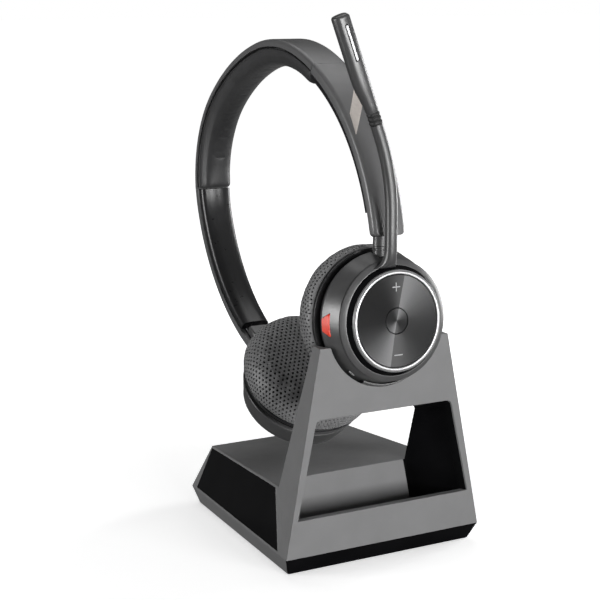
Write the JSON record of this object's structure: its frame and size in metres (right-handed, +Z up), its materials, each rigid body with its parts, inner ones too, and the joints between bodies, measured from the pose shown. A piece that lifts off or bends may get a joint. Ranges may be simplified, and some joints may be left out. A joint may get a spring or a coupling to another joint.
{
  "type": "office headset on charging base",
  "caption": "Wireless stereo office headset: over-the-head band, on-ear cushions and a boom microphone, docked in an open A-frame charging base.",
  "frame": {"origin": "centre of the charging base's underside", "axes": "+Z up, -Y towards the front panel, +X to the right seen from the front"},
  "size_m": [0.09, 0.1666, 0.2153],
  "materials": {
    "housing_grey": "fine spark texture, satin",
    "gloss_black": "high gloss",
    "shell_black": "fine texture",
    "boom_black": "satin",
    "arm_grey": "satin paint",
    "chrome_trim": "polished",
    "brushed_disc": "spun dark finish",
    "mark_grey": "printed",
    "mute_red": "translucent red-orange",
    "cushion_leather": "perforated leatherette",
    "crown_fabric": "ribbed leatherette",
    "spring_steel": "brushed",
    "gold_contact": "plated",
    "rubber_black": "matte",
    "tag_silver": "fine satin",
    "board_green": "solder mask",
    "battery_wrap": "foil"
  },
  "bodies": {
    "base": {"base_tray": "housing_grey", "front_strip": "gloss_black", "anti_slip_pad": "rubber_black", "base_screws": "spring_steel", "base_weight": "spring_steel", "base_board": "board_green", "front_frame": "housing_grey", "upright_back": "housing_grey", "window_liner": "gloss_black", "rear_housing": "housing_grey", "left_side_inlay": "gloss_black", "right_side_inlay": "gloss_black", "cradle_saddle": "shell_black", "contact_block": "shell_black", "power_jack": "shell_black", "phone_sockets": "shell_black"},
    "charging_pins": {"charging_pins": "gold_contact"},
    "front_cup": {"front_cup_shell": "shell_black", "charging_contacts": "gold_contact", "trim_ring": "chrome_trim", "button_board": "board_green", "front_driver": "shell_black", "front_baffle": "shell_black", "front_cushion_ring": "shell_black", "front_cushion": "cushion_leather", "front_tilt_axle": "spring_steel"},
    "boom": {"boom_ring": "shell_black", "boom_arm": "boom_black", "boom_grip": "rubber_black", "mic_housing": "boom_black", "mic_grille": "chrome_trim", "mic_capsule": "spring_steel"},
    "volume_disc": {"volume_disc": "brushed_disc", "volume_marks": "mark_grey"},
    "call_button": {"call_button": "brushed_disc"},
    "mute_button": {"mute_button": "mute_red"},
    "power_switch": {"power_switch": "shell_black"},
    "front_knuckle": {"front_knuckle": "shell_black"},
    "front_slider": {"front_yoke": "shell_black", "front_slider_strip": "spring_steel"},
    "headband": {"crown_shell": "arm_grey", "crown_spring": "spring_steel", "crown_pad": "crown_fabric", "arm_tag": "tag_silver", "front_arm_cover": "arm_grey", "front_arm_inner": "shell_black", "rear_arm_cover": "arm_grey", "rear_arm_inner": "shell_black", "arm_screws": "spring_steel"},
    "rear_slider": {"rear_yoke": "shell_black", "rear_slider_strip": "spring_steel"},
    "rear_knuckle": {"rear_knuckle": "shell_black"},
    "rear_cup": {"rear_cup_shell": "shell_black", "rear_cup_cap": "shell_black", "battery": "battery_wrap", "rear_driver": "shell_black", "rear_baffle": "shell_black", "rear_cushion_ring": "shell_black", "rear_cushion": "cushion_leather", "rear_tilt_axle": "spring_steel"}
  },
  "joints": [
    {"name": "headset_lift", "type": "slide", "parent": "base", "child": "front_cup", "axis": [0, 0, 1], "range_m": [0, 0.08]},
    {"name": "pin_press", "type": "slide", "parent": "base", "child": "charging_pins", "axis": [0, 0, -1], "range_m": [0, 0.0008], "stiffness_N_per_m": 250},
    {"name": "boom_turn", "type": "hinge", "parent": "front_cup", "child": "boom", "pos_m": [0, -0.0583, 0.0987], "axis": [0, -0.9964, 0.0845], "range_deg": [-135, 135]},
    {"name": "volume_rock", "type": "hinge", "parent": "front_cup", "child": "volume_disc", "pos_m": [0, -0.05681, 0.09857], "axis": [1, 0, 0], "range_deg": [-1.2, 1.2], "stiffness_Nm_per_rad": 0.6},
    {"name": "call_press", "type": "slide", "parent": "volume_disc", "child": "call_button", "axis": [0, 0.9964, -0.0845], "range_m": [0, 0.0004], "stiffness_N_per_m": 400},
    {"name": "mute_press", "type": "slide", "parent": "front_cup", "child": "mute_button", "axis": [1, 0, 0], "range_m": [0, 0.0008], "stiffness_N_per_m": 300},
    {"name": "power_slide", "type": "slide", "parent": "front_cup", "child": "power_switch", "axis": [0.7727, -0.0537, -0.6325], "range_m": [0, 0.003]},
    {"name": "front_tilt", "type": "hinge", "parent": "front_cup", "child": "front_knuckle", "pos_m": [0, -0.04492, 0.11914], "axis": [1, 0, 0], "range_deg": [0, 9]},
    {"name": "front_swivel", "type": "hinge", "parent": "front_knuckle", "child": "front_slider", "pos_m": [0, -0.04492, 0.11914], "axis": [0, 0, 1], "range_deg": [-15, 15]},
    {"name": "front_adjust", "type": "hinge", "parent": "front_slider", "child": "headband", "pos_m": [0, 0.03459, 0.1159], "axis": [-1, 0, 0], "range_deg": [0, 5]},
    {"name": "rear_adjust", "type": "hinge", "parent": "headband", "child": "rear_slider", "pos_m": [0, 0.01708, 0.14761], "axis": [-1, 0, 0], "range_deg": [0, 5]},
    {"name": "rear_swivel", "type": "hinge", "parent": "rear_slider", "child": "rear_knuckle", "pos_m": [0, 0.03513, 0.06702], "axis": [0, 0.91, 0.4147], "range_deg": [-15, 15]},
    {"name": "rear_tilt", "type": "hinge", "parent": "rear_knuckle", "child": "rear_cup", "pos_m": [0, 0.03513, 0.06702], "axis": [-1, 0, 0], "range_deg": [-2, 7]}
  ]
}
